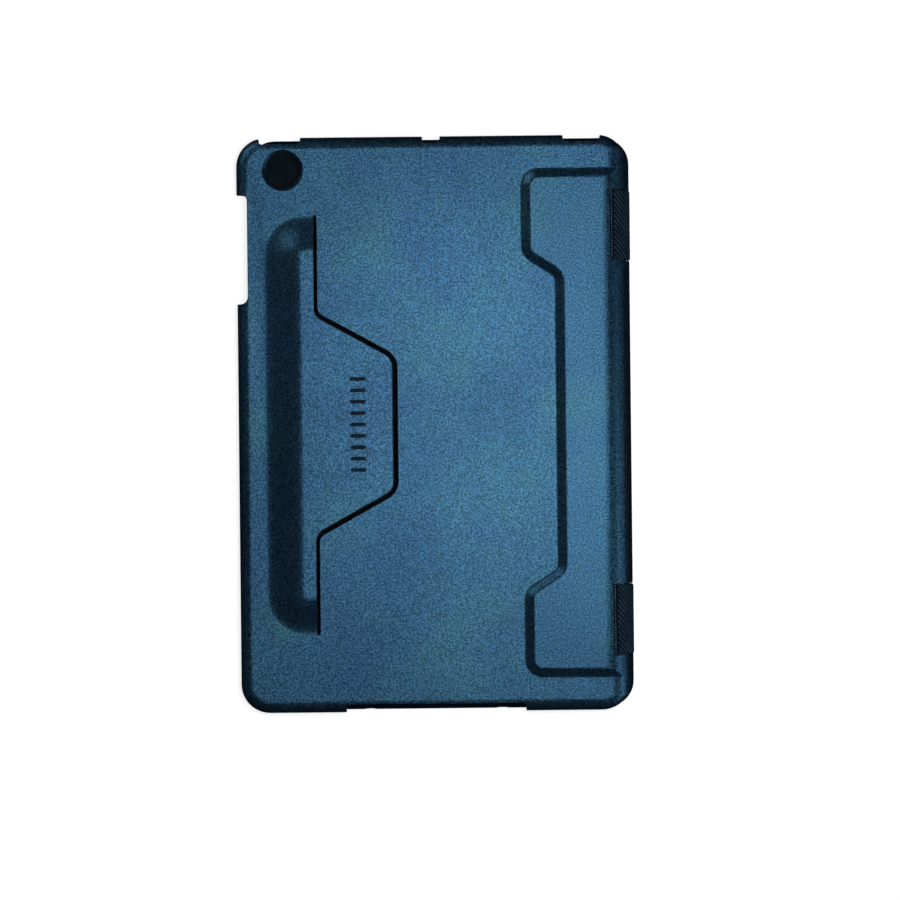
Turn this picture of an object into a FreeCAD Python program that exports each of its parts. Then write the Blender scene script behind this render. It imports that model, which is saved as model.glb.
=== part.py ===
import FreeCAD, Part
import os
import math

# Folio case for a small tablet, lying shut on its front cover with its moulded back up.
# X runs across the case, +X towards the spine. Y runs along it, +Y towards the top of the tablet.
# Z is up, with the cover's outer skin on Z = 0. All sizes are in mm.

V = FreeCAD.Vector

# ---- the tablet and the shell round it ----
tablet_length = 200.0
tablet_width = 134.7
tablet_thick = 7.2
end_clearance = 0.3
side_clearance = 0.15
front_clearance = 0.2
wall = 1.5
corner_radius = 10.3
back_edge_radius = 4.5
shoulder_radius = 7.0
inner_edge_radius = 3.0
inner_shoulder_radius = 5.5
lip_thick = 0.9
lip_overhang = 1.2

# ---- cover ----
cover_end_inset = 0.55
cover_thick = 2.8
cover_corner_radius = 9.5
skin_thick = 0.8
skin_edge = 1.0
lining_thick = 0.6
lining_margin = 3.0
free_panel_width = 40.0
inner_panel_width = 45.1
crease_gap = 3.5
crease_thick = 1.0
free_edge_inset = 3.8
spine_overhang = 1.3
running_gap = 0.3

# ---- camera window ----
camera_from_side = 16.6
camera_from_top = 11.8
camera_inner_radius = 6.2
camera_outer_radius = 7.0
camera_rim = 0.4

# ---- edge cut-outs: length, depth from the outline, corner radius ----
power_cut = (15.0, 2.6, 1.7)
mic_cut = (6.2, 2.6, 1.4)
jack_cut = (13.3, 2.7, 1.7)
volume_cut = (39.0, 3.9, 2.6)
port_cut = (63.8, 3.1, 1.7)
power_from_side = 15.3
jack_from_side = 15.7
volume_from_top = 39.4

# ---- hood that takes the folded cover, and its tongue ----
slot_from_side = 27.3
hood_reach = 17.6
hood_from_end = 27.8
hood_ramp = 13.5
hood_corner = 14.0
slot_gap = 0.9
tongue_gap = 1.4
tongue_length = 27.5
tongue_root_half = 38.4
tongue_tip_half = 23.2
tongue_corner = 5.3
tongue_root_inset = 2.5
edge_break = 0.3
ramp_steps = 8
ramp_trim = 0.05

# ---- thumb grip sunk in the tongue ----
grip_count = 9
grip_pitch = 4.0
grip_length = 5.6
grip_width = 1.4
grip_depth = 0.45
grip_from_tip = 12.3

# ---- raised housing for the hinge plate ----
housing_raise = 2.0
housing_band = 3.9
housing_corner = 4.7
housing_ear_width = 35.8
housing_mid_width = 24.0
housing_from_end = 13.7
housing_ear_length = 28.3
housing_slant = 7.6
housing_shoulder = 9.0
housing_side = 1.45

# ---- hinge plate and hinge tabs ----
tab_length = 24.7
tab_from_end = 32.1
tab_thick = 0.9
tab_bend_radius = 9.0
tab_side_gap = 0.35
tab_root_length = 11.8
notch_depth = 6.2
crease_offset = 1.15
crease_half_gap = 0.15
anchor_thick = 0.9
anchor_from_notch = 1.8
tab_roof = 1.3
tail_thick = 0.6
tail_reach = 11.0
tab_foot = 0.1

# ---- magnets in the free panel ----
magnet_thick = 1.0
wake_magnet_size = (4.0, 14.0)
wake_from_edge = 7.5
wake_from_end = 49.25
closure_magnet_size = (4.0, 26.0)
closure_from_edge = 6.5
closure_from_end = 19.25

# ---- derived sizes ----
shell_width = tablet_width + 2 * (side_clearance + wall)
shell_length = tablet_length + 2 * (end_clearance + wall)
shell_right = shell_width / 2
shell_top = shell_length / 2
cover_length = shell_length - 2 * cover_end_inset
rim_z = cover_thick + running_gap
seat_z = rim_z + lip_thick + front_clearance + tablet_thick
plate_z = seat_z + wall
hood_raise = cover_thick + 2 * running_gap + wall
hood_z = plate_z + hood_raise
housing_z = plate_z + housing_raise
shell_shift = -spine_overhang / 2
spine_x = shell_right + spine_overhang
free_x = -shell_right + free_edge_inset
second_crease_x = free_x + free_panel_width + crease_gap / 2
first_crease_x = spine_x - inner_panel_width - crease_gap / 2
root_top_z = housing_z - tab_roof
tab_centre_z = root_top_z - tab_bend_radius
tab_centre_x = spine_x - tab_bend_radius
tab_centre_y = shell_top - tab_from_end
camera_x = camera_from_side - shell_right
camera_y = shell_top - camera_from_top
slot_x = slot_from_side - shell_right
hood_half_length = shell_top - hood_from_end
tongue_tip_x = slot_x + tongue_length
grip_x = tongue_tip_x - grip_from_tip
housing_ear_x = shell_right - housing_ear_width
housing_mid_x = shell_right - housing_mid_width
housing_ear_top = shell_top - housing_from_end
housing_step_out = housing_ear_top - housing_ear_length
housing_step_in = housing_step_out - housing_slant
notch_x = shell_right - notch_depth
tab_root_x = notch_x - tab_root_length
anchor_right_x = notch_x - anchor_from_notch


def box(x0, x1, y0, y1, z0, z1):
    return Part.makeBox(x1 - x0, y1 - y0, z1 - z0, V(x0, y0, z0))


def rounded_wire(points, radii, z):
    """Closed wire through the points at height z, each corner rounded by its radius."""
    n = len(points)
    edges = []
    last = None
    first = None
    for i in range(n):
        p = V(points[i][0], points[i][1], z)
        a = V(points[i - 1][0], points[i - 1][1], z)
        b = V(points[(i + 1) % n][0], points[(i + 1) % n][1], z)
        start, end, arc = corner_arc(a, p, b, radii[i])
        if last is not None:
            edges.append(Part.makeLine(last, start))
        else:
            first = start
        if arc is not None:
            edges.append(arc)
        last = end
    edges.append(Part.makeLine(last, first))
    return Part.Wire(edges)


def corner_arc(a, p, b, radius):
    """The rounding at corner p between a and b: its two ends and its edge."""
    if radius <= 0:
        return p, p, None
    u = (a - p).normalize()
    w = (b - p).normalize()
    half = u.getAngle(w) / 2
    reach = radius / math.tan(half)
    middle = (u + w).normalize()
    centre = p + middle * (radius / math.sin(half))
    start = p + u * reach
    end = p + w * reach
    top = centre - middle * radius
    return start, end, Part.Arc(start, top, end).toShape()


def offset_points(points, offsets):
    """Move each side of an anticlockwise polygon outwards by its own offset."""
    n = len(points)
    lines = []
    for i in range(n):
        ax, ay = points[i]
        bx, by = points[(i + 1) % n]
        length = math.hypot(bx - ax, by - ay)
        nx = (by - ay) / length
        ny = -(bx - ax) / length
        lines.append((nx, ny, nx * ax + ny * ay + offsets[i]))
    moved = []
    for i in range(n):
        a, b, c = lines[i - 1]
        d, e, f = lines[i]
        det = a * e - b * d
        moved.append(((c * e - b * f) / det, (a * f - c * d) / det))
    return moved


def turns_left(points, i):
    ax, ay = points[i - 1]
    px, py = points[i]
    bx, by = points[(i + 1) % len(points)]
    return (px - ax) * (by - py) - (py - ay) * (bx - px) > 0


def offset_radii(points, radii, offset):
    """Corner radii after moving every side outwards by one offset."""
    moved = []
    for i, radius in enumerate(radii):
        if radius <= 0:
            moved.append(0)
        elif turns_left(points, i):
            moved.append(radius + offset)
        else:
            moved.append(radius - offset)
    return moved


def prism(points, radii, z0, z1):
    face = Part.Face(rounded_wire(points, radii, z0))
    return face.extrude(V(0, 0, z1 - z0))


def rectangle(x0, x1, y0, y1):
    return [(x0, y0), (x1, y0), (x1, y1), (x0, y1)]


def side_profile(right, radius, top):
    """A long bar whose right-hand top edge is rounded: it trims the shoulder."""
    low = -5.0
    far = -200.0
    half = shell_length
    a = V(far, -half, low)
    b = V(right, -half, low)
    c = V(right, -half, top - radius)
    s = math.sqrt(0.5)
    m = V(right - radius + radius * s, -half, top - radius + radius * s)
    d = V(right - radius, -half, top)
    e = V(far, -half, top)
    edges = [Part.makeLine(a, b), Part.makeLine(b, c), Part.Arc(c, m, d).toShape(),
             Part.makeLine(d, e), Part.makeLine(e, a)]
    return Part.Face(Part.Wire(edges)).extrude(V(0, 2 * half, 0))


def rounded_block(half_x, half_y, radius, z0, z1, edge_radius):
    """Rounded plate with every upper edge rounded."""
    block = prism(rectangle(-half_x, half_x, -half_y, half_y), [radius] * 4, z0, z1)
    upper = [e for e in block.Edges if min(v.Z for v in e.Vertexes) > z1 - 0.01]
    return block.makeFillet(edge_radius, upper)


def swell(points, radii, sides, width, base_z, raise_z, foot):
    """Raised shape whose flank is an S-curve of the given width, over a straight foot."""
    wires = []
    low = ramp_trim
    high = 1 - ramp_trim
    bottom = s_curve(low)
    span = s_curve(high) - bottom
    for k in range(-1, ramp_steps + 1):
        s = low + (high - low) * max(k, 0) / ramp_steps
        inward = width * max(k, 0) / ramp_steps
        z = base_z + raise_z * (s_curve(s) - bottom) / span
        if k < 0:
            z = base_z - foot
        shifts = [-inward if side else 0 for side in sides]
        wires.append(rounded_wire(offset_points(points, shifts), offset_radii(points, radii, -inward), z))
    return Part.makeLoft(wires, True, True)


def s_curve(s):
    return 3 * s * s - 2 * s * s * s


def hood_swell(drop):
    """The hood's dome, drawn to both sides of the slot line."""
    outline = rectangle(slot_x - hood_reach, slot_x + hood_reach, -hood_half_length, hood_half_length)
    return swell(outline, [hood_corner] * 4, [True] * 4, hood_ramp, plate_z - drop, hood_raise, wall / 2)


def left_of_slot(solid):
    return solid.common(box(slot_x - 2 * hood_reach, slot_x, -shell_length, shell_length, 0, 2 * hood_z))


def tongue_points(run_gap, edge_gap):
    """Outline of the tongue and the strip of hood it grows from, with its sides moved out."""
    root_x = slot_x - tongue_root_inset
    points = [(slot_x, -tongue_root_half), (tongue_tip_x, -tongue_tip_half),
              (tongue_tip_x, tongue_tip_half), (slot_x, tongue_root_half)]
    ends = hood_half_length - hood_ramp - 1
    loop = [(root_x, -ends), (slot_x, -ends)] + points + [(slot_x, ends), (root_x, ends)]
    offsets = [0, run_gap, edge_gap, edge_gap, edge_gap, run_gap, 0, 0]
    return offset_points(loop, offsets)


def tongue():
    """Flat tongue that grows out of the hood's top and reaches over the plate."""
    points = tongue_points(0, 0)
    radii = [0, 0, tongue_corner, tongue_corner, tongue_corner, tongue_corner, 0, 0]
    plate = prism(points, radii, hood_z - wall, hood_z)
    top = [e for e in plate.Edges if min(v.Z for v in e.Vertexes) > hood_z - 0.01]
    visible = [e for e in top if e.BoundBox.XMax > slot_x + 0.01]
    return plate.makeChamfer(edge_break, visible)


def window_cut():
    """Opening in the plate under the tongue, a little larger than the tongue all round."""
    ends = hood_half_length
    inner = tongue_points(slot_gap, tongue_gap)[2:6]
    start = [(slot_x, -ends), (slot_x + slot_gap, -ends)]
    finish = [(slot_x + slot_gap, ends), (slot_x, ends)]
    loop = start + inner + finish
    wide = [0, 0, tongue_corner - tongue_gap, tongue_corner + tongue_gap,
            tongue_corner + tongue_gap, tongue_corner - tongue_gap, 0, 0]
    hole = prism(loop, wide, seat_z - 1, plate_z + 1)
    sides = [0, edge_break, edge_break, edge_break, edge_break, edge_break, 0, 0]
    upper = offset_points(loop, sides)
    radii = [r if r == 0 else r + (edge_break if turns_left(loop, i) else -edge_break)
             for i, r in enumerate(wide)]
    mouth = Part.makeLoft([rounded_wire(loop, wide, plate_z - edge_break),
                           rounded_wire(upper, radii, plate_z)], True, True)
    return hole.fuse(mouth)


def grip_cut():
    """Row of shallow pills that a thumb finds on the tongue."""
    cuts = []
    for k in range(grip_count):
        y = (k - (grip_count - 1) / 2) * grip_pitch
        loop = rectangle(grip_x - grip_length / 2, grip_x + grip_length / 2,
                         y - grip_width / 2, y + grip_width / 2)
        cuts.append(prism(loop, [grip_width / 2 - 0.01] * 4, hood_z - grip_depth, hood_z + 1))
    return Part.makeCompound(cuts)


def housing_points():
    far = shell_right + 2 * spine_overhang + housing_corner
    return [(far, -housing_ear_top), (far, housing_ear_top), (housing_ear_x, housing_ear_top),
            (housing_ear_x, housing_step_out), (housing_mid_x, housing_step_in),
            (housing_mid_x, -housing_step_in), (housing_ear_x, -housing_step_out),
            (housing_ear_x, -housing_ear_top)]


def housing_radii():
    return [0, 0] + [housing_corner] * 6


def housing():
    """Raised land over the hinge plate, run off over the rounded shoulder."""
    half = housing_band / 2
    points = offset_points(housing_points(), [half] * 8)
    radii = offset_radii(housing_points(), housing_radii(), half)
    body = swell(points, radii, [True] * 8, housing_band, plate_z, housing_raise, wall / 2)
    return body.common(side_profile(shell_right, housing_shoulder, housing_z))


def plate_outline(offset):
    """Outline of the hinge plate and of the hollow that takes it."""
    inward = housing_band / 2 + housing_side + offset
    points = offset_points(housing_points(), [-inward] * 8)
    clipped = [(min(x, anchor_right_x - offset), y) for x, y in points]
    radii = [max(r, 0) for r in offset_radii(housing_points(), housing_radii(), -inward)]
    return clipped, [r if r > 0.5 else 0.8 for r in radii[:2]] + [max(r, 1.0) for r in radii[2:]]


def tab_ring(inner, outer, y, half, start_x):
    """Sector of a tube round the shoulder, right of start_x, with its straight drop."""
    low = V(tab_centre_x, y - half, tab_centre_z)
    ring = Part.makeCylinder(outer, 2 * half, low, V(0, 1, 0))
    if inner > 0:
        ring = ring.cut(Part.makeCylinder(inner, 2 * half, low, V(0, 1, 0)))
    reach = tab_centre_x + 2 * outer
    return ring.common(box(start_x, reach, y - half, y + half, tab_centre_z, 2 * hood_z))


def notch_cut(y):
    """Recess in the shoulder that a tab lies in, and the pocket for its root."""
    half = tab_length / 2 + tab_side_gap
    far = spine_x + 5
    solid = box(notch_x, far, y - half, y + half, tab_centre_z, 2 * hood_z)
    core = Part.makeCylinder(tab_bend_radius - tab_thick - running_gap, 2 * half,
                             V(tab_centre_x, y - half, tab_centre_z), V(0, 1, 0))
    recess = solid.cut(core)
    snug = tab_length / 2
    flat = box(tab_root_x, tab_centre_x, y - snug, y + snug, root_top_z - tab_thick, root_top_z)
    bend = tab_ring(tab_bend_radius - tab_thick, tab_bend_radius, y, snug, tab_centre_x)
    bend = bend.common(box(tab_centre_x, notch_x + 0.1, y - half, y + half, 0, 2 * hood_z))
    return [recess, flat, bend]


def edge_cuts():
    """Cut-outs for buttons, sockets and speakers, each open through the rim."""
    z0 = rim_z - 1
    z1 = plate_z + 1
    out = 6.0
    top = shell_top
    cuts = []
    places = ((power_from_side - shell_right, power_cut), (0.0, mic_cut),
              (shell_right - jack_from_side, jack_cut))
    for x, (length, depth, radius) in places:
        loop = rectangle(x - length / 2, x + length / 2, top - depth, top + out)
        cuts.append(prism(loop, [radius, radius, 0, 0], z0, z1))
    length, depth, radius = port_cut
    loop = rectangle(-length / 2, length / 2, -top - out, -top + depth)
    cuts.append(prism(loop, [0, 0, radius, radius], z0, z1))
    length, depth, radius = volume_cut
    y = top - volume_from_top
    loop = rectangle(-shell_right - out, -shell_right + depth, y - length / 2, y + length / 2)
    cuts.append(prism(loop, [0, radius, radius, 0], z0, z1))
    return cuts


def camera_cut():
    """Tapered round window with a softened rim."""
    r0 = camera_inner_radius
    r1 = camera_outer_radius
    rim = camera_rim
    z0 = seat_z
    z1 = plate_z
    taper_top = z1 - rim
    s = math.sqrt(0.5)
    middle = V(r1 + rim - rim * s, 0, z1 - rim + rim * s)
    points = [V(0, 0, z0 - 1), V(r0, 0, z0 - 1), V(r0, 0, z0), V(r1, 0, taper_top)]
    edges = [Part.makeLine(points[i], points[i + 1]) for i in range(3)]
    edges.append(Part.Arc(points[3], middle, V(r1 + rim, 0, z1)).toShape())
    edges.append(Part.makeLine(V(r1 + rim, 0, z1), V(r1 + rim, 0, z1 + 1)))
    edges.append(Part.makeLine(V(r1 + rim, 0, z1 + 1), V(0, 0, z1 + 1)))
    edges.append(Part.makeLine(V(0, 0, z1 + 1), V(0, 0, z0 - 1)))
    tool = Part.Face(Part.Wire(edges)).revolve(V(0, 0, 0), V(0, 0, 1), 360)
    tool.translate(V(camera_x, camera_y, 0))
    return tool


def cavity():
    """Room for the tablet, with the snap lips left round the screen."""
    half_x = shell_width / 2 - wall
    half_y = shell_length / 2 - wall
    radius = corner_radius - wall
    room = rounded_block(half_x, half_y, radius, rim_z + lip_thick, seat_z, inner_edge_radius)
    room = room.common(side_profile(shell_right - wall, inner_shoulder_radius, seat_z))
    mouth = prism(rectangle(lip_overhang - half_x, half_x - lip_overhang,
                            lip_overhang - half_y, half_y - lip_overhang),
                  [radius - lip_overhang] * 4, rim_z - 1, rim_z + lip_thick + 1)
    return [room, mouth]


def back_shell():
    body = rounded_block(shell_width / 2, shell_length / 2, corner_radius, rim_z, plate_z, back_edge_radius)
    body = body.common(side_profile(shell_right, shoulder_radius, plate_z))
    body = body.fuse([housing(), left_of_slot(hood_swell(0)), tongue()])
    outline, radii = plate_outline(0)
    hollow = prism(outline, radii, seat_z - 1, root_top_z - tab_thick)
    tools = cavity() + [hollow, left_of_slot(hood_swell(wall)), window_cut(), camera_cut(), grip_cut()]
    tools = tools + edge_cuts() + notch_cut(tab_centre_y) + notch_cut(-tab_centre_y)
    for tool in tools:
        body = body.cut(tool)
    return body.removeSplitter()


def hinge_anchor_plate():
    outline, radii = plate_outline(0)
    top = root_top_z - tab_thick
    return prism(outline, radii, top - anchor_thick, top)


def tab_root(y):
    """The glued-in end of a tab, up to its crease."""
    snug = tab_length / 2
    flat = box(tab_root_x, tab_centre_x, y - snug, y + snug, root_top_z - tab_thick, root_top_z)
    bend = tab_ring(tab_bend_radius - tab_thick, tab_bend_radius, y, snug, tab_centre_x)
    edge = notch_x + crease_offset - crease_half_gap
    bend = bend.common(box(tab_centre_x, edge, y - snug, y + snug, 0, 2 * hood_z))
    return flat.fuse(bend).removeSplitter()


def hinge_tab(y):
    """The free length of a tab, round the shoulder and down to the cover's lower edge."""
    snug = tab_length / 2
    start = notch_x + crease_offset + crease_half_gap
    bend = tab_ring(tab_bend_radius - tab_thick, tab_bend_radius, y, snug, start)
    drop = box(spine_x - tab_thick, spine_x, y - snug, y + snug, tab_foot, tab_centre_z)
    return bend.fuse(drop).removeSplitter()


def cover_notch(y):
    """Room in the cover's spine edge for the foot of a tab."""
    half = tab_length / 2 + tab_side_gap
    left = spine_x - tab_thick - running_gap
    return box(left, spine_x + 1, y - half, y + half, -1, cover_thick + 1)


def tail_box(y):
    half = tab_length / 2
    right = spine_x - tab_thick - running_gap
    top = cover_thick - lining_thick
    return box(right - tail_reach, right, y - half, y + half, top - tail_thick, top)


def panel_outline(x0, x1, inset, round_left, round_right):
    """Outline of one cover panel; only the cover's own outer sides are inset."""
    half = cover_length / 2 - inset
    left = x0 + (inset if round_left else 0)
    right = x1 - (inset if round_right else 0)
    radius = cover_corner_radius - inset
    a = radius if round_left else 0
    b = radius if round_right else 0
    return rectangle(left, right, -half, half), [a, b, b, a]


def panel_parts(x0, x1, round_left, round_right):
    """Skin, board and lining of one panel, bonded face to face."""
    outline, radii = panel_outline(x0, x1, 0, round_left, round_right)
    skin = prism(outline, radii, 0, cover_thick)
    outline, radii = panel_outline(x0, x1, skin_edge, round_left, round_right)
    board = prism(outline, radii, skin_thick, cover_thick - lining_thick)
    outline, radii = panel_outline(x0, x1, lining_margin, round_left, round_right)
    lining = prism(outline, radii, cover_thick - lining_thick, cover_thick)
    return skin.cut(board).cut(lining), board, lining


def crease_strip(x):
    half = cover_length / 2 - skin_edge
    low = (cover_thick - crease_thick) / 2
    return box(x - crease_gap / 2, x + crease_gap / 2, -half, half, low, low + crease_thick)


def magnet(size, from_edge, y):
    x = free_x + from_edge
    top = cover_thick - lining_thick
    return box(x - size[0] / 2, x + size[0] / 2, y - size[1] / 2, y + size[1] / 2, top - magnet_thick, top)


def build():
    half = crease_gap / 2
    inner = panel_parts(first_crease_x + half, spine_x, False, True)
    middle = panel_parts(second_crease_x + half, first_crease_x - half, False, False)
    free = panel_parts(free_x, second_crease_x - half, True, False)
    upper_tail = tail_box(tab_centre_y)
    lower_tail = tail_box(-tab_centre_y)
    for notch in (cover_notch(tab_centre_y), cover_notch(-tab_centre_y)):
        inner = tuple(layer.cut(notch) for layer in inner)
    end = cover_length / 2
    wake = magnet(wake_magnet_size, wake_from_edge, end - wake_from_end)
    upper_closure = magnet(closure_magnet_size, closure_from_edge, end - closure_from_end)
    lower_closure = magnet(closure_magnet_size, closure_from_edge, closure_from_end - end)
    return {
        "back_shell": back_shell(),
        "hinge_anchor_plate": hinge_anchor_plate(),
        "upper_tab_root": tab_root(tab_centre_y),
        "lower_tab_root": tab_root(-tab_centre_y),
        "upper_hinge_tab": hinge_tab(tab_centre_y),
        "lower_hinge_tab": hinge_tab(-tab_centre_y),
        "inner_panel_skin": inner[0],
        "inner_panel_board": inner[1].cut(upper_tail).cut(lower_tail),
        "inner_panel_lining": inner[2],
        "upper_tab_tail": upper_tail,
        "lower_tab_tail": lower_tail,
        "first_crease_strip": crease_strip(first_crease_x),
        "middle_panel_skin": middle[0],
        "middle_panel_board": middle[1],
        "middle_panel_lining": middle[2],
        "second_crease_strip": crease_strip(second_crease_x),
        "free_panel_skin": free[0],
        "free_panel_board": free[1].cut(wake).cut(upper_closure).cut(lower_closure),
        "free_panel_lining": free[2],
        "wake_magnet": wake,
        "upper_closure_magnet": upper_closure,
        "lower_closure_magnet": lower_closure,
    }


def export(nodes):
    os.makedirs("parts", exist_ok=True)
    for name, shape in nodes.items():
        shape.translate(V(shell_shift, 0, 0))
        shape.exportStep("parts/" + name + ".step")


export(build())
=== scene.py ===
import math

import bmesh
import bpy
from mathutils import Matrix, Vector, noise

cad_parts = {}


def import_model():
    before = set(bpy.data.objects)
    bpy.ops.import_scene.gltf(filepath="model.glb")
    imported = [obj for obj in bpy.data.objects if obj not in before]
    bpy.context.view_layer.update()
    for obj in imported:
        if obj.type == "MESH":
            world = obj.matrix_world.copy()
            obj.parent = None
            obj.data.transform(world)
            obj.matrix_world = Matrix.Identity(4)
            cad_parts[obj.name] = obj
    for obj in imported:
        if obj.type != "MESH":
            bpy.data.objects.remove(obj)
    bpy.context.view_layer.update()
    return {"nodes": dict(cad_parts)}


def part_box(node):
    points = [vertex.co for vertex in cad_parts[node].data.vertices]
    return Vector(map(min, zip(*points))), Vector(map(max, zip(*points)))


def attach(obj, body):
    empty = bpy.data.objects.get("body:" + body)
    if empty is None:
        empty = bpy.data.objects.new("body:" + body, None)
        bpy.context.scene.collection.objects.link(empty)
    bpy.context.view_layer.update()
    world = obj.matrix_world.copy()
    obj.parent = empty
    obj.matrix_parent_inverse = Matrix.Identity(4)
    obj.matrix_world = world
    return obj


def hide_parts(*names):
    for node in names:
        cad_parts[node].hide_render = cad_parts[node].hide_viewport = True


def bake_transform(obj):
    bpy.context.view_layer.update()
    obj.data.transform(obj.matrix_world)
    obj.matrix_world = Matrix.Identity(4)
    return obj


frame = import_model()

MM = 0.001
NODES = frame["nodes"]
SLANT = math.radians(47)      # slope of the ribs on tabs, skin and lining
RIB = 1.28 * MM               # pitch of the ribs on tabs and skin
TWILL = 0.95 * MM             # pitch of the fine lines in the lining
HEM = 3.0 * MM                # width of the skin's edge turned in over the board
LINING_THICK = 0.6 * MM
SOFT_BEVEL = 0.27 * MM        # how far the moulding's sharp edges are broken
GRIP_X = -27.2 * MM           # middle of the thumb grip's recesses on the tongue
GRIP_HALF_X, GRIP_HALF_Y = 4 * MM, 19 * MM


# ---------------------------------------------------------------- small helpers

def make_mesh(name, verts, faces, materials, indices=None, smooth=True):
    mesh = bpy.data.meshes.new(name)
    mesh.from_pydata(verts, [], faces)
    for m in materials:
        mesh.materials.append(m)
    if indices:
        mesh.polygons.foreach_set("material_index", indices)
    mesh.polygons.foreach_set("use_smooth", [smooth] * len(mesh.polygons))
    mesh.validate()
    mesh.update()
    obj = bpy.data.objects.new(name, mesh)
    bpy.context.scene.collection.objects.link(obj)
    return obj


def sharpen(obj, degrees):
    """Marks edges sharper than this angle, and keeps the rest smooth."""
    bm = bmesh.new()
    bm.from_mesh(obj.data)
    bmesh.ops.recalc_face_normals(bm, faces=bm.faces)
    limit = math.radians(degrees)
    for e in bm.edges:
        if len(e.link_faces) == 2 and e.calc_face_angle(0) > limit:
            e.smooth = False
    bm.to_mesh(obj.data)
    bm.free()


def weigh_normals(obj):
    m = obj.modifiers.new("weigh", "WEIGHTED_NORMAL")
    m.mode = "FACE_AREA"
    m.weight = 60
    m.keep_sharp = True


def keep_rest(obj):
    """Stores where each point is at rest, so that a pattern stays put as the piece bends."""
    at = obj.data.attributes.new("rest_place", "FLOAT_VECTOR", "POINT")
    at.data.foreach_set("vector", [c for v in obj.data.vertices for c in v.co])


def keep_rise(obj, shares):
    """Stores how far up a rib each point is, for the wear and the painted light and shade on the
    ribs in the materials.
    """
    obj.data.attributes.new("rise", "FLOAT", "POINT").data.foreach_set("value", shares)


# ---------------------------------------------------------------- materials

class Nodes:
    """A short way to write node trees."""

    def __init__(self, name):
        self.mat = bpy.data.materials.new(name)
        self.mat.use_nodes = True
        self.tree = self.mat.node_tree
        self.bsdf = self.tree.nodes["Principled BSDF"]

    def add(self, kind, **sets):
        n = self.tree.nodes.new(kind)
        for k, v in sets.items():
            setattr(n, k, v)
        return n

    def link(self, a, b):
        self.tree.links.new(a, b)

    def place(self, rest=False):
        if rest:
            kept = self.add("ShaderNodeAttribute", attribute_name="rest_place")
            return kept.outputs["Vector"]
        return self.add("ShaderNodeTexCoord").outputs["Object"]

    def noise(self, where, size, detail=2.0, rough=0.5):
        n = self.add("ShaderNodeTexNoise")
        n.inputs["Scale"].default_value = 1 / size
        n.inputs["Detail"].default_value = detail
        n.inputs["Roughness"].default_value = rough
        self.link(where, n.inputs["Vector"])
        return n.outputs["Fac"]

    def ramp(self, value, stops):
        n = self.add("ShaderNodeValToRGB")
        e = n.color_ramp.elements
        while len(e) < len(stops):
            e.new(0.5)
        for i, (at, col) in enumerate(stops):
            e[i].position = at
            e[i].color = (*col, 1)
        self.link(value, n.inputs["Fac"])
        return n.outputs["Color"]

    def span(self, value, lo, hi, out_lo, out_hi):
        n = self.add("ShaderNodeMapRange")
        for i, v in enumerate((lo, hi, out_lo, out_hi)):
            n.inputs[i + 1].default_value = v
        self.link(value, n.inputs[0])
        return n.outputs[0]

    def maths(self, how, a, b):
        n = self.add("ShaderNodeMath", operation=how)
        for i, v in enumerate((a, b)):
            if isinstance(v, (int, float)):
                n.inputs[i].default_value = v
            else:
                self.link(v, n.inputs[i])
        return n.outputs[0]

    def mix(self, how, fac, a, b):
        n = self.add("ShaderNodeMix", data_type="RGBA", blend_type=how)
        for i, v in ((0, fac), (6, a), (7, b)):
            if isinstance(v, (int, float)):
                n.inputs[i].default_value = v
            elif isinstance(v, tuple):
                n.inputs[i].default_value = (*v, 1)
            else:
                self.link(v, n.inputs[i])
        return n.outputs[2]

    def shade(self, color, value):
        """A colour times a number that varies over the surface."""
        grey = self.add("ShaderNodeCombineColor")
        for socket in grey.inputs[:3]:
            self.link(value, socket)
        return self.mix("MULTIPLY", 1.0, color, grey.outputs[0])

    def bump(self, height, distance, strength=1.0):
        n = self.add("ShaderNodeBump")
        n.inputs["Distance"].default_value = distance
        n.inputs["Strength"].default_value = strength
        self.link(height, n.inputs["Height"])
        return n.outputs["Normal"]

    def finish(self, color=None, rough=None, normal=None, **fixed):
        for key, v in (("Base Color", color), ("Roughness", rough), ("Normal", normal)):
            if v is None:
                continue
            if isinstance(v, tuple):
                self.bsdf.inputs[key].default_value = (*v, 1)
            elif isinstance(v, (int, float)):
                self.bsdf.inputs[key].default_value = v
            else:
                self.link(v, self.bsdf.inputs[key])
        for key, v in fixed.items():
            self.bsdf.inputs[key.replace("_", " ")].default_value = v
        return self.mat


def shell_material(name, painted_shade_scale=1.0):
    """Satin steel-blue moulding with a fine spark grain and slow teal and blue clouds."""
    n = Nodes(name)
    at = n.place()
    cloud = n.noise(at, 24 * MM, 3.0, 0.55)
    drift = n.noise(at, 45 * MM, 2.0, 0.5)
    grain = n.noise(at, 0.62 * MM, 2.5, 0.75)
    fine = n.noise(at, 0.28 * MM, 0.0)
    tone = n.ramp(cloud, [(0.34, (0.031, 0.091, 0.176)), (0.52, (0.031, 0.096, 0.170)),
                          (0.70, (0.033, 0.105, 0.158))])
    slow = n.span(drift, 0.35, 0.65, 0.9, 1.1)
    speck = n.span(grain, 0.41, 0.67, 0.45, 2.25)
    # The scale below darkens the whole colour: painted shade for the darker copies of this
    # moulding.
    value = n.maths("MULTIPLY", n.maths("MULTIPLY", slow, speck), painted_shade_scale)
    rough = n.span(grain, 0.3, 0.7, 0.37, 0.46)
    normal = n.bump(n.maths("ADD", grain, n.maths("MULTIPLY", fine, 0.45)), 0.10 * MM, 0.5)
    return n.finish(n.shade(tone, value), rough, normal, Metallic=0.94, Specular_IOR_Level=0.3)


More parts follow.
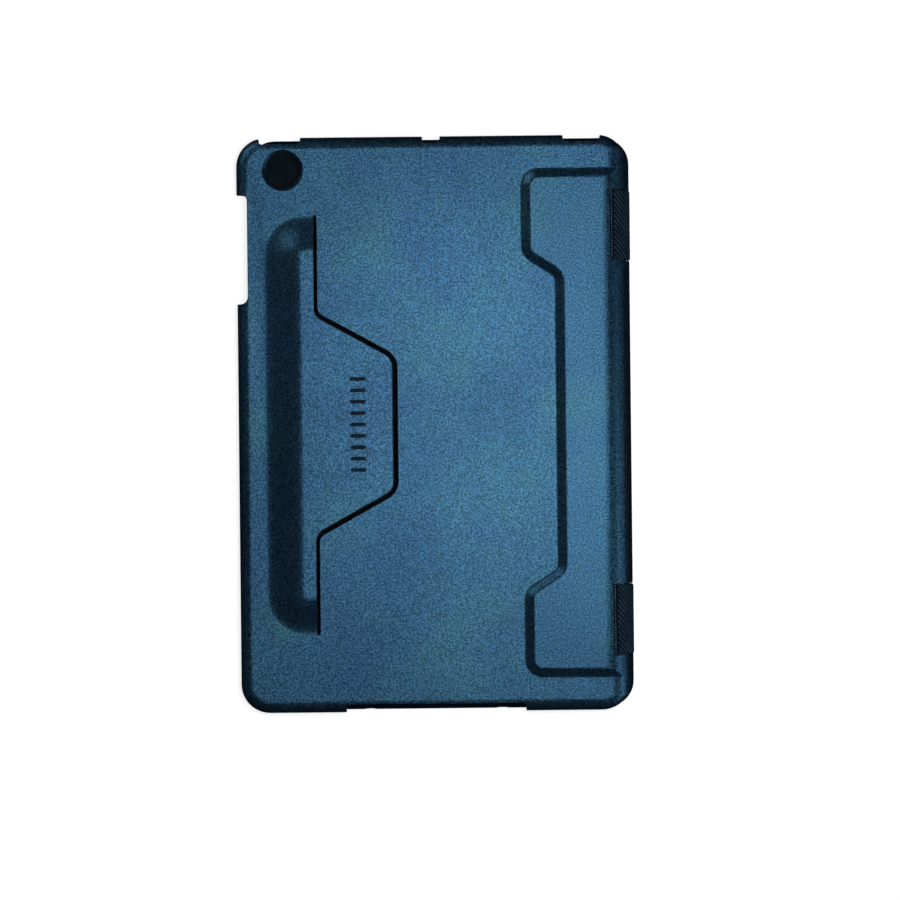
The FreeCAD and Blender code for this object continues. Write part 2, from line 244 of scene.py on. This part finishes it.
def edge_wear_highlight_material():
    """Edges painted lighter: wear from handling, and a painted highlight along every sharp edge.
    """
    n = Nodes("shell_edge_wear_and_painted_highlight")
    at = n.place()
    wear = n.noise(at, 2.5 * MM, 3.0, 0.6)
    color = n.ramp(wear, [(0.35, (0.50, 0.66, 0.74)), (0.65, (0.80, 0.90, 0.95))])
    normal = n.bump(n.noise(at, 0.4 * MM, 1.0), 0.05 * MM, 0.4)
    return n.finish(color, n.span(wear, 0.3, 0.7, 0.45, 0.6), normal, Metallic=0.1)


def rise_of(n):
    """Share of the rib height at each point, written on the mesh."""
    return n.add("ShaderNodeAttribute", attribute_name="rise").outputs["Fac"]


def leather_material(name, rest=False, painted_shade_scale=1.0):
    """Blue-black synthetic leather: creased grain, ridges paler than the grooves, as rubbing wear
    and as a painted highlight on the rib tops.
    """
    n = Nodes(name)
    at = n.place(rest)
    pores = n.add("ShaderNodeTexVoronoi", feature="DISTANCE_TO_EDGE")
    pores.inputs["Scale"].default_value = 1 / (0.42 * MM)
    n.link(at, pores.inputs["Vector"])
    folds = n.span(pores.outputs["Distance"], 0.0, 0.12, 0.0, 1.0)
    dust = n.noise(at, 3.5 * MM, 4.0, 0.6)
    broad = n.noise(at, 28 * MM, 2.0)
    # The scale darkens every colour here: painted shade for the crease leather.
    low, mid, high = (tuple(c * painted_shade_scale for c in t) for t in (
        (0.0018, 0.0060, 0.0140), (0.0028, 0.0098, 0.0215), (0.0046, 0.0155, 0.0310)))
    tone = n.ramp(dust, [(0.32, low), (0.52, mid), (0.7, high)])
    base = n.mix("MULTIPLY", n.span(broad, 0.3, 0.7, 0.0, 0.35), tone, (0.7, 0.8, 0.9))
    # Rib tops painted paler: rubbing wear, and a painted highlight where light catches the ribs.
    ridge = n.span(rise_of(n), 0.7, 1.0, 0.0, 1.0)
    ridge_wear_and_highlight = n.maths("MULTIPLY", ridge, n.span(dust, 0.3, 0.65, 0.35, 1.0))
    color = n.mix("MIX", ridge_wear_and_highlight, base, tuple(c * painted_shade_scale for c in (0.050, 0.100, 0.140)))
    rough = n.span(dust, 0.3, 0.7, 0.5, 0.66)
    pits = n.maths("MULTIPLY", n.noise(at, 0.18 * MM, 1.0), 0.5)
    normal = n.bump(n.maths("ADD", n.maths("MULTIPLY", folds, 0.7), pits), 0.05 * MM, 0.6)
    n.bsdf.inputs["Specular Tint"].default_value = (0.45, 0.75, 1.0, 1)
    return n.finish(color, rough, normal, Specular_IOR_Level=0.08)


def cloth_material(name, rest=False):
    """Dark woven lining: crossed threads, a little fuzz and slow wear."""
    n = Nodes(name)
    at = n.place(rest)
    waves = []
    for turn in (SLANT, SLANT + math.pi / 2):
        m = n.add("ShaderNodeMapping")
        m.inputs["Rotation"].default_value = (0, 0, turn)
        n.link(at, m.inputs["Vector"])
        w = n.add("ShaderNodeTexWave", wave_type="BANDS", bands_direction="X", wave_profile="SIN")
        w.inputs["Scale"].default_value = 1 / (2 * 0.32 * MM)
        w.inputs["Distortion"].default_value = 0.6
        w.inputs["Detail"].default_value = 1.0
        n.link(m.outputs["Vector"], w.inputs["Vector"])
        waves.append(w.outputs["Fac"])
    thread = n.maths("MULTIPLY", waves[0], waves[1])
    wear = n.noise(at, 9 * MM, 3.0, 0.6)
    tone = n.ramp(wear, [(0.35, (0.006, 0.013, 0.021)), (0.65, (0.012, 0.023, 0.034))])
    # Twill ridges painted up to 2.4 times lighter and grooves down to 0.3: painted light and
    # shade on the weave.
    ridge = n.span(rise_of(n), 0.35, 1.0, 0.3, 2.4)
    lit = n.maths("MULTIPLY", n.span(thread, 0.0, 1.0, 0.6, 1.3), ridge)
    relief = n.maths("ADD", thread, n.maths("MULTIPLY", n.noise(at, 0.12 * MM, 2.0), 0.5))
    return n.finish(n.shade(tone, lit), 0.85, n.bump(relief, 0.06 * MM, 0.7),
                    Sheen_Weight=0.05, Sheen_Roughness=0.5, Specular_IOR_Level=0.12)


def board_material():
    """Grey pressed fibre board."""
    n = Nodes("grey_board")
    at = n.place()
    fibre = n.noise(at, 1.2 * MM, 5.0, 0.65)
    color = n.ramp(fibre, [(0.3, (0.13, 0.125, 0.11)), (0.7, (0.26, 0.25, 0.225))])
    return n.finish(color, 0.9, n.bump(fibre, 0.05 * MM, 0.5))


def metal_material():
    """Plated magnets, hazed by handling."""
    n = Nodes("plated_magnet")
    at = n.place()
    haze = n.noise(at, 1.5 * MM, 4.0, 0.6)
    color = n.ramp(haze, [(0.3, (0.42, 0.42, 0.43)), (0.7, (0.58, 0.58, 0.6))])
    rough = n.span(haze, 0.3, 0.7, 0.25, 0.4)
    return n.finish(color, rough, n.bump(haze, 0.01 * MM, 0.4), Metallic=1.0)


def thread_material():
    """Pale twisted sewing thread."""
    n = Nodes("tab_thread")
    at = n.place()
    twist = n.noise(at, 0.2 * MM, 2.0, 0.6)
    color = n.ramp(twist, [(0.3, (0.11, 0.20, 0.27)), (0.7, (0.26, 0.42, 0.52))])
    return n.finish(color, 0.75, n.bump(twist, 0.04 * MM, 0.6), Sheen_Weight=0.2)


SHELL = shell_material("shell_satin_plastic")
# The moulding at 0.35 of its brightness: painted shade on the hinge anchor plate.
ANCHOR_PAINTED_SHADE = shell_material("anchor_plastic", 0.35)
# The moulding at a tenth of its brightness: painted shade on the floors of the thumb grip's
# recesses.
GRIP_RECESS_PAINTED_SHADE = shell_material("grip_recess_painted_shade", 0.10)
EDGE_WEAR_HIGHLIGHT = edge_wear_highlight_material()
TAB = leather_material("tab_ribbed_leather", rest=True)
SKIN = leather_material("cover_ribbed_leather")
# The leather at 0.85 of its brightness: painted shade on the creases.
CREASE = leather_material("crease_leather_painted_shade", rest=True, painted_shade_scale=0.85)
LINING = cloth_material("cover_lining_cloth")
CREASE_LINING = cloth_material("crease_lining_cloth", rest=True)
BOARD = board_material()
MAGNET = metal_material()
THREAD = thread_material()


def paint(node, material):
    """Gives a carried-over CAD node its finish."""
    slots = NODES[node].data.materials
    slots.clear()
    slots.append(material)


for node in NODES:
    if node.endswith("_board"):
        paint(node, BOARD)
    elif node.endswith("_magnet"):
        paint(node, MAGNET)
    elif node.endswith("_tail"):
        paint(node, SKIN)
paint("hinge_anchor_plate", ANCHOR_PAINTED_SHADE)


# ---------------------------------------------------------------- shell

def shell_piece():
    """The moulding, with its sharp edges broken and its swells shaded smoothly."""
    mesh = NODES["back_shell"].data.copy()
    mesh.name = "shell_moulding"
    bm = bmesh.new()
    bm.from_mesh(mesh)
    bmesh.ops.remove_doubles(bm, verts=bm.verts, dist=0.002 * MM)
    bmesh.ops.dissolve_degenerate(bm, edges=bm.edges, dist=0.002 * MM)
    bmesh.ops.dissolve_limit(bm, angle_limit=math.radians(0.4), verts=bm.verts, edges=bm.edges)
    sharp = [e for e in bm.edges if len(e.link_faces) == 2 and e.is_convex
             and e.calc_face_angle(0) > math.radians(38)]
    # The bevel faces take material 1, the lighter edge colour: wear with a painted highlight.
    bmesh.ops.bevel(bm, geom=sharp, offset=SOFT_BEVEL, offset_type="OFFSET", segments=2,
                    profile=0.5, affect="EDGES", clamp_overlap=True, material=1)
    for e in bm.edges:
        e.smooth = not (len(e.link_faces) == 2 and e.calc_face_angle(0) > math.radians(32))
    for f in bm.faces:
        f.smooth = True
    # Faces just under the top in the thumb grip's recesses take material 2, the painted shade.
    top = max(v.co.z for v in bm.verts)
    for f in bm.faces:
        p = f.calc_center_median()
        sunk = top - 0.50 * MM < p.z < top - 0.03 * MM
        if sunk and abs(p.x - GRIP_X) < GRIP_HALF_X and abs(p.y) < GRIP_HALF_Y:
            f.material_index = 2
    mesh.materials.clear()
    for m in (SHELL, EDGE_WEAR_HIGHLIGHT, GRIP_RECESS_PAINTED_SHADE):
        mesh.materials.append(m)
    bm.to_mesh(mesh)
    bm.free()
    obj = bpy.data.objects.new("shell_moulding", mesh)
    bpy.context.scene.collection.objects.link(obj)
    weigh_normals(obj)
    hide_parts("back_shell")
    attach(obj, "shell")


shell_piece()


# ---------------------------------------------------------------- hinge tabs

TAB_LOW, TAB_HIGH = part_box("upper_hinge_tab")
ROOT_LOW, ROOT_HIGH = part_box("upper_tab_root")
TAB_THICK = 0.9 * MM
BEND = 9.0 * MM
BEND_X = TAB_HIGH.x - BEND
BEND_Z = ROOT_HIGH.z - BEND
FLAT_RUN = BEND_X - ROOT_LOW.x
CREASE_X = (TAB_LOW.x + ROOT_HIGH.x) / 2
CREASE_U = FLAT_RUN + BEND * math.asin((CREASE_X - BEND_X) / BEND)
STRAP_LENGTH = FLAT_RUN + BEND * math.pi / 2 + (BEND_Z - TAB_LOW.z)


def strap_point(u, h):
    """Point of the strap's outer face at length u, lifted by h."""
    if u < FLAT_RUN:
        return ROOT_LOW.x + u, ROOT_HIGH.z + h
    turn = (u - FLAT_RUN) / BEND
    if turn < math.pi / 2:
        return BEND_X + (BEND + h) * math.sin(turn), BEND_Z + (BEND + h) * math.cos(turn)
    return BEND_X + BEND + h, BEND_Z - (u - FLAT_RUN - BEND * math.pi / 2)


def rib_shape(phase):
    """Share of a rib's height at this share of its pitch."""
    s = abs((phase % 1.0) - 0.5) * 2
    return 1 - s ** 2.4


def strap_height(u, v, half):
    """Ribs past the crease, a pressed groove at it, rounded long edges."""
    q = (u * math.sin(SLANT) + v * math.cos(SLANT)) / RIB
    past = min(max((u - CREASE_U - 0.35 * MM) / (0.4 * MM), 0), 1)
    side = min((half - abs(v)) / (0.5 * MM), 1)
    end = min(max((STRAP_LENGTH - u) / (0.5 * MM), 0), 1)
    h = 0.24 * MM * rib_shape(q) * past * max(side, 0) * end - 0.12 * MM * past
    near = abs(u - CREASE_U) / (0.32 * MM)
    if near < 1:
        h -= 0.22 * MM * (1 - near * near)
    edge = max(0, 1 - (half - abs(v)) / (0.4 * MM))
    return h - 0.3 * MM * edge * edge


def strap_piece(name, node, root):
    """A ribbed strap from its glued root, over the edge, to its foot on the cover."""
    low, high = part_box(node)
    middle = (low.y + high.y) / 2
    half = (high.y - low.y) / 2
    nu = int(STRAP_LENGTH / (0.22 * MM))
    nv = int(2 * half / (0.22 * MM))
    verts, rise = [], []
    for lower in (False, True):
        for i in range(nu + 1):
            u = STRAP_LENGTH * i / nu
            for j in range(nv + 1):
                v = -half + 2 * half * j / nv
                h = -TAB_THICK if lower else strap_height(u, v, half)
                x, z = strap_point(u, h)
                verts.append((x, middle + v, z))
                q = (u * math.sin(SLANT) + v * math.cos(SLANT)) / RIB
                rise.append(0.0 if lower or u < CREASE_U + 0.4 * MM else rib_shape(q))
    row = nv + 1
    base = (nu + 1) * row
    faces = []
    for i in range(nu):
        for j in range(nv):
            a = i * row + j
            faces.append((a, a + row, a + row + 1, a + 1))
            b = base + a
            faces.append((b, b + 1, b + row + 1, b + row))
    for i in range(nu):
        for j, flip in ((0, False), (nv, True)):
            a, b = i * row + j, (i + 1) * row + j
            quad = (a, base + a, base + b, b)
            faces.append(quad[::-1] if flip else quad)
    for j in range(nv):
        for i, flip in ((0, True), (nu, False)):
            a, b = i * row + j, i * row + j + 1
            quad = (a, base + a, base + b, b)
            faces.append(quad[::-1] if flip else quad)
    obj = make_mesh(name, verts, faces, [TAB])
    keep_rise(obj, rise)
    sharpen(obj, 50)
    keep_rest(obj)
    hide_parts(node, root)
    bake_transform(obj)


def stitch_row(name, node):
    """Short stitches beside the crease, each a flattened bead dipping into the strap."""
    low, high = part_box(node)
    verts, faces = [], []
    count, rings, sides = 24, 6, 8
    for k in range(count):
        y = low.y + (high.y - low.y) * (k + 0.5) / count
        x, z = strap_point(CREASE_U - 0.5 * MM, 0.03 * MM)
        for r in range(rings + 1):
            t = math.pi * r / rings
            for s in range(sides):
                a = 2 * math.pi * s / sides
                swell = math.sin(t) + 0.02
                verts.append((x + 0.13 * MM * swell * math.cos(a) + 0.05 * MM * math.cos(t),
                              y - 0.36 * MM * math.cos(t),
                              z + 0.11 * MM * swell * math.sin(a)))
        start = k * (rings + 1) * sides
        for r in range(rings):
            for s in range(sides):
                a = start + r * sides + s
                b = start + r * sides + (s + 1) % sides
                faces.append((a, b, b + sides, a + sides))
        faces.append(tuple(start + s for s in range(sides))[::-1])
        faces.append(tuple(start + rings * sides + s for s in range(sides)))
    obj = make_mesh(name, verts, faces, [THREAD])
    sharpen(obj, 70)
    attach(obj, "shell")


strap_piece("upper_tab_strap", "upper_hinge_tab", "upper_tab_root")
strap_piece("lower_tab_strap", "lower_hinge_tab", "lower_tab_root")
stitch_row("upper_tab_stitches", "upper_hinge_tab")
stitch_row("lower_tab_stitches", "lower_hinge_tab")


# ---------------------------------------------------------------- cover panels

COVER_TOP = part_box("inner_panel_skin")[1].z
HALF_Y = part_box("inner_panel_skin")[1].y
CORNER = 9.5 * MM


class Outline:
    """A panel's outline: straight at its creases, rounded at the cover's own corners."""

    def __init__(self, x0, x1, left, right):
        self.x0, self.x1, self.left, self.right = x0, x1, left, right

    def normal(self, x, y, inset):
        """Outward direction at a point of the outline moved in by inset."""
        r = CORNER
        if self.left and x < self.x0 + r and abs(y) > HALF_Y - r:
            return self.away(x, y, self.x0 + r)
        if self.right and x > self.x1 - r and abs(y) > HALF_Y - r:
            return self.away(x, y, self.x1 - r)
        if abs(y) > HALF_Y - inset - 1e-6:
            return 0.0, math.copysign(1, y)
        if self.left and x < self.x0 + inset + 1e-6:
            return -1.0, 0.0
        if self.right and x > self.x1 - inset - 1e-6:
            return 1.0, 0.0
        return 0.0, 0.0

    def away(self, x, y, cx):
        cy = math.copysign(HALF_Y - CORNER, y)
        d = math.hypot(x - cx, y - cy)
        return (x - cx) / d, (y - cy) / d

    def loop(self, inset):
        """Anticlockwise points of the outline moved in by inset."""
        points = []
        corners = [(self.right, self.x1, -1, -90), (self.right, self.x1, 1, 0),
                   (self.left, self.x0, 1, 90), (self.left, self.x0, -1, 180)]
        for rounded, x, side, start in corners:
            y = side * HALF_Y
            if not rounded:
                points.append((x, y - side * inset))
                continue
            cx = x - CORNER if x == self.x1 else x + CORNER
            cy = y - side * CORNER
            for k in range(13):
                a = math.radians(start + 90 * k / 12)
                r = CORNER - inset
                points.append((cx + r * math.cos(a), cy + r * math.sin(a)))
        return points


def clip(points, q_of, limit, keep_above):
    """Cuts a convex outline along a line of equal q."""
    out = []
    n = len(points)
    for i in range(n):
        p, r = points[i], points[(i + 1) % n]
        a, b = q_of(p) - limit, q_of(r) - limit
        if not keep_above:
            a, b = -a, -b
        if a >= 0:
            out.append(p)
        if (a > 0 > b) or (a < 0 < b):
            t = a / (a - b)
            out.append((p[0] + (r[0] - p[0]) * t, p[1] + (r[1] - p[1]) * t))
    return out


def ribbed_face(points, pitch, sense, profile):
    """Splits a convex outline into its diagonal ribs' facets: (x, y, share of height) loops."""
    def q_of(p):
        return sense * p[0] * math.sin(SLANT) + p[1] * math.cos(SLANT)
    values = [q_of(p) for p in points]
    low, high = min(values), max(values)
    cuts = []
    k = math.floor(low / pitch)
    while k * pitch < high:
        for share, height in profile:
            cuts.append(((k + share) * pitch, height))
        k += 1
    strips = []
    for (a, ha), (b, hb) in zip(cuts, cuts[1:]):
        if b <= low or a >= high:
            continue
        strip = clip(clip(points, q_of, a, True), q_of, b, False)
        if len(strip) < 3:
            continue
        shares = [min(max((q_of(p) - a) / (b - a), 0), 1) for p in strip]
        strips.append([(x, y, ha + (hb - ha) * t) for (x, y), t in zip(strip, shares)])
    return strips


# (share of the pitch, share of the height)
RIB_PROFILE = [(0.0, 0.0), (0.14, 0.12), (0.3, 0.78), (0.42, 1.0), (0.64, 1.0), (0.76, 0.78),
               (0.92, 0.12)]
TWILL_PROFILE = [(0.0, 0.0), (0.22, 0.7), (0.5, 1.0), (0.78, 0.7)]


def plate_mesh(name, outline, inset, z_face, z_back, edge, pitch, sense, depth, profile,
               material, hollow=None):
    """A flat piece: ribbed face at z_face, rounded outer edges, plain back at z_back."""
    toward = 1 if z_back > z_face else -1
    verts, faces, index = [], [], {}

    def vert(x, y, z):
        key = (round(x * 1e7), round(y * 1e7), round(z * 1e7))
        if key not in index:
            index[key] = len(verts)
            verts.append((x, y, z))
        return index[key]

    edge_use = {}
    height = {}
    for strip in ribbed_face(outline.loop(inset + edge), pitch, sense, profile):
        ring = []
        for x, y, share in strip:
            z = z_face + toward * depth * (1 - share)
            i = vert(x, y, z)
            if not ring or ring[-1] != i:
                ring.append(i)
                height[i] = share
        if ring[0] == ring[-1]:
            ring.pop()
        if len(ring) < 3:
            continue
        faces.append(tuple(ring) if toward < 0 else tuple(reversed(ring)))
        for a, b in zip(ring, ring[1:] + ring[:1]):
            edge_use.setdefault(frozenset((a, b)), []).append((a, b))
    border = {a: b for uses in edge_use.values() if len(uses) == 1 for a, b in uses}
    start = min(border)
    ring = [start]
    while border[ring[-1]] != start:
        ring.append(border[ring[-1]])
    base = [verts[i] for i in ring]
    outward = [outline.normal(x, y, inset + edge) for x, y, z in base]
    steps = []
    for k in range(1, 5):
        a = math.pi / 2 * k / 4
        steps.append((edge * math.sin(a), edge * (1 - math.cos(a)), math.cos(a)))
    thick = abs(z_back - z_face)
    back_edge = min(edge, thick * 0.4) if hollow is None else edge * 0.6
    loops = [ring]
    for out, rise, fade in steps:
        loops.append([vert_new(verts, p, n, out,
                               (z_face + toward * rise) + (p[2] - z_face) * fade)
                      for p, n in zip(base, outward)])
    for k in range(4):
        a = math.pi / 2 * k / 3
        out = edge - back_edge * (1 - math.cos(a))
        z = z_back - toward * back_edge * (1 - math.sin(a))
        loops.append([vert_new(verts, p, n, out, z) for p, n in zip(base, outward)])
    if hollow:
        margin, floor_z = hollow
        inner = inset + edge - margin
        loops.append([vert_new(verts, p, n, inner, z_back) for p, n in zip(base, outward)])
        loops.append([vert_new(verts, p, n, inner, floor_z) for p, n in zip(base, outward)])
    for lower, upper in zip(loops, loops[1:]):
        for i in range(len(ring)):
            j = (i + 1) % len(ring)
            quad = (lower[i], lower[j], upper[j], upper[i])
            faces.append(quad if toward > 0 else quad[::-1])
    faces.append(tuple(reversed(loops[-1])) if toward < 0 else tuple(loops[-1]))
    obj = make_mesh(name, verts, faces, [material])
    keep_rise(obj, [height.get(i, 0.0) for i in range(len(verts))])
    return obj


def vert_new(verts, p, n, out, z):
    """Adds a point at height z, moved outward from p, and gives its number."""
    verts.append((p[0] + n[0] * out, p[1] + n[1] * out, z))
    return len(verts) - 1


def notch_skin(obj):
    """Cuts the room for the tabs' feet out of the inner panel's spine edge."""
    for node in ("upper_hinge_tab", "lower_hinge_tab"):
        low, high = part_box(node)
        x0, x1 = high.x - TAB_THICK - 0.3 * MM, high.x + 3 * MM
        y0, y1 = low.y - 0.14 * MM, high.y + 0.14 * MM
        z0, z1 = -3 * MM, COVER_TOP + 3 * MM
        corners = [(x, y, z) for z in (z0, z1) for y in (y0, y1) for x in (x0, x1)]
        quads = [(0, 2, 3, 1), (4, 5, 7, 6), (0, 1, 5, 4), (2, 6, 7, 3), (0, 4, 6, 2),
                 (1, 3, 7, 5)]
        cutter = make_mesh("cutter", corners, quads, [], smooth=False)
        m = obj.modifiers.new("notch", "BOOLEAN")
        m.operation, m.solver, m.object = "DIFFERENCE", "EXACT", cutter
        bpy.context.view_layer.update()
        cut = obj.evaluated_get(bpy.context.evaluated_depsgraph_get())
        done = bpy.data.meshes.new_from_object(cut)
        obj.modifiers.clear()
        obj.data = done
        bpy.data.objects.remove(cutter)


def panel(prefix, body, left, right):
    """Outer skin with ribs underneath and turned-in edges, and the cloth lining let into it."""
    low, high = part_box(prefix + "_skin")
    outline = Outline(low.x, high.x, left, right)
    skin = plate_mesh(prefix + "_outer", outline, 0.0, 0.0, COVER_TOP, 0.8 * MM, RIB, -1,
                      0.16 * MM, RIB_PROFILE, SKIN, hollow=(HEM, 0.8 * MM))
    if right:
        notch_skin(skin)
    sharpen(skin, 40)
    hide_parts(prefix + "_skin")
    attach(skin, body)
    base = COVER_TOP - LINING_THICK
    lining = plate_mesh(prefix + "_cloth", outline, HEM, COVER_TOP, base, 0.2 * MM, TWILL, 1,
                        0.10 * MM, TWILL_PROFILE, LINING)
    sharpen(lining, 50)
    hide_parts(prefix + "_lining")
    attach(lining, body)


panel("inner_panel", "inner_panel", False, True)
panel("middle_panel", "middle_panel", False, False)
panel("free_panel", "free_panel", True, False)


# ---------------------------------------------------------------- creases

def groove(t):
    """How far a crease is pressed in at share t of its width."""
    return (0.5 - 0.5 * math.cos(2 * math.pi * t)) ** 0.75


def crease_piece(name, x0, x1, half, z_low, z_high, dip_low, dip_high, edge, material):
    """Pressed strip across a crease: a closed loop of section points swept along Y."""
    steps, count = 14, 150
    shares = [k / steps for k in range(steps + 1)]
    section = [(x0 + (x1 - x0) * t, z_low + dip_low * groove(t)) for t in shares]
    section += [(x0 + (x1 - x0) * t, z_high - dip_high * groove(t)) for t in reversed(shares)]
    middle = (z_low + z_high) / 2
    verts, faces = [], []
    m = len(section)
    for j in range(count + 1):
        y = -half + 2 * half * j / count
        near = max(0.0, 1 - (half - abs(y)) / edge)
        shrink = 1 - 0.35 * near * near
        for x, z in section:
            wrinkle = 0.05 * MM * noise.noise(Vector((x / MM * 0.6, y / MM * 0.35, 0)))
            inside = groove((x - x0) / (x1 - x0))
            verts.append((x, y, middle + (z - middle) * shrink + wrinkle * inside))
    for a in range(0, count * m, m):
        for i in range(m):
            k = (i + 1) % m
            faces.append((a + i, a + k, a + m + k, a + m + i))
    faces.append(tuple(range(m)))
    faces.append(tuple(range(m * count, m * (count + 1)))[::-1])
    obj = make_mesh(name, verts, faces, [material])
    sharpen(obj, 50)
    keep_rest(obj)
    return obj


def crease(prefix, node):
    """What bends between two panels: the skin, the lining, and the two turned-in hems."""
    low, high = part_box(node)
    base, dip = COVER_TOP - LINING_THICK, 0.45 * MM
    skin = crease_piece(prefix + "_skin_fold", low.x, high.x, HALF_Y - 0.15 * MM, 0.0,
                        base - 0.02 * MM, 1.0 * MM, dip, 0.8 * MM, CREASE)
    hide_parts(node)
    cloth = crease_piece(prefix + "_cloth_fold", low.x, high.x, HALF_Y - HEM - 0.05 * MM, base,
                         COVER_TOP, -dip, dip, 0.3 * MM, CREASE_LINING)
    folds = [skin, cloth]
    for side, place in ((-1, "_lower"), (1, "_upper")):
        hem = crease_piece(prefix + place + "_hem_fold", low.x, high.x, 1.4 * MM, base,
                           COVER_TOP, -dip, dip, 0.3 * MM, CREASE)
        hem.data.transform(Matrix.Translation((0, side * (HALF_Y - 1.6 * MM), 0)))
        folds.append(hem)
    for obj in folds:
        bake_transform(obj)


crease("first_crease", "first_crease_strip")
crease("second_crease", "second_crease_strip")


# ---------------------------------------------------------------- stage, light, camera

def stage():
    """A pale floor that nearly glows, and a round backdrop that casts no shadow."""
    n = Nodes("pale_floor")
    tone = n.ramp(n.noise(n.place(), 400 * MM, 1.0),
                  [(0.3, (0.93, 0.93, 0.93)), (0.7, (0.95, 0.95, 0.95))])
    n.finish(tone, 0.9)
    n.bsdf.inputs["Emission Color"].default_value = (1, 1, 1, 1)
    n.bsdf.inputs["Emission Strength"].default_value = 0.75
    size, drop, segments = 4.0, -0.2 * MM, 72
    corners = [(x * size, y * size, drop) for x, y in ((-1, -1), (1, -1), (1, 1), (-1, 1))]
    floor = make_mesh("floor", corners, [(0, 1, 2, 3)], [n.mat], smooth=False)
    ring = []
    for z in (-0.01, 3.0):
        for i in range(segments):
            a = 2 * math.pi * i / segments
            ring.append((size * 0.98 * math.cos(a), size * 0.98 * math.sin(a), z))
    walls = [(i, (i + 1) % segments, segments + (i + 1) % segments, segments + i)
             for i in range(segments)]
    wall = make_mesh("backdrop", ring, walls, [n.mat])
    wall.visible_shadow = False
    for obj in (floor, wall):
        obj.visible_glossy = False
        obj.visible_diffuse = False


def area_light(name, at, size, power):
    """A rectangular softbox aimed at the origin, which the camera can't see."""
    light = bpy.data.lights.new(name, "AREA")
    light.shape = "RECTANGLE"
    light.size, light.size_y = size
    light.energy = power
    obj = bpy.data.objects.new(name, light)
    obj.location = at
    obj.rotation_euler = (-Vector(at)).to_track_quat("-Z", "Y").to_euler()
    obj.visible_camera = False
    bpy.context.scene.collection.objects.link(obj)


def world(low, side, top):
    """Dim bluish surround: darkest below the floor, brightest at the walls."""
    w = bpy.data.worlds.new("studio")
    w.use_nodes = True
    tree = w.node_tree
    back = tree.nodes["Background"]
    at = tree.nodes.new("ShaderNodeTexCoord")
    split = tree.nodes.new("ShaderNodeSeparateXYZ")
    tree.links.new(at.outputs["Generated"], split.inputs[0])
    ramp = tree.nodes.new("ShaderNodeValToRGB")
    scale = tree.nodes.new("ShaderNodeMapRange")
    scale.inputs[1].default_value = -1
    tree.links.new(split.outputs["Z"], scale.inputs[0])
    tree.links.new(scale.outputs[0], ramp.inputs["Fac"])
    stops = [(0.44, low), (0.54, side), (0.72, side), (0.9, top)]
    e = ramp.color_ramp.elements
    while len(e) < len(stops):
        e.new(0.5)
    for i, (place, v) in enumerate(stops):
        e[i].position = place
        e[i].color = (0.86 * v, 0.93 * v, v, 1)
    tree.links.new(ramp.outputs["Color"], back.inputs["Color"])
    back.inputs["Strength"].default_value = 1.0
    bpy.context.scene.world = w


def camera():
    """Straight above the case, turned a touch, framed as a catalogue picture."""
    cam = bpy.data.cameras.new("camera")
    cam.type = "PERSP"
    sensor, height, wide = 36, 1.1, 0.3186      # wide is what the frame takes in, in metres
    cam.sensor_width = sensor
    cam.lens = sensor * height / wide
    obj = bpy.data.objects.new("camera", cam)
    obj.location = (5.05 * MM, -9.3 * MM, height + 9 * MM)
    obj.rotation_euler = (0, 0, math.radians(-0.6))
    bpy.context.scene.collection.objects.link(obj)
    bpy.context.scene.camera = obj


stage()
area_light("overhead_softbox", (0.06, 0.03, 0.68), (0.20, 0.16), 1.24)
area_light("left_fill", (-0.95, 0.95, 0.44), (0.9, 0.36), 3.3)
area_light("right_fill", (1.22, -0.56, 0.44), (0.9, 0.36), 4.0)
world(0.012, 0.052, 0.045)
camera()
bpy.context.scene.view_settings.view_transform = "Standard"
bpy.context.scene.view_settings.look = "None"
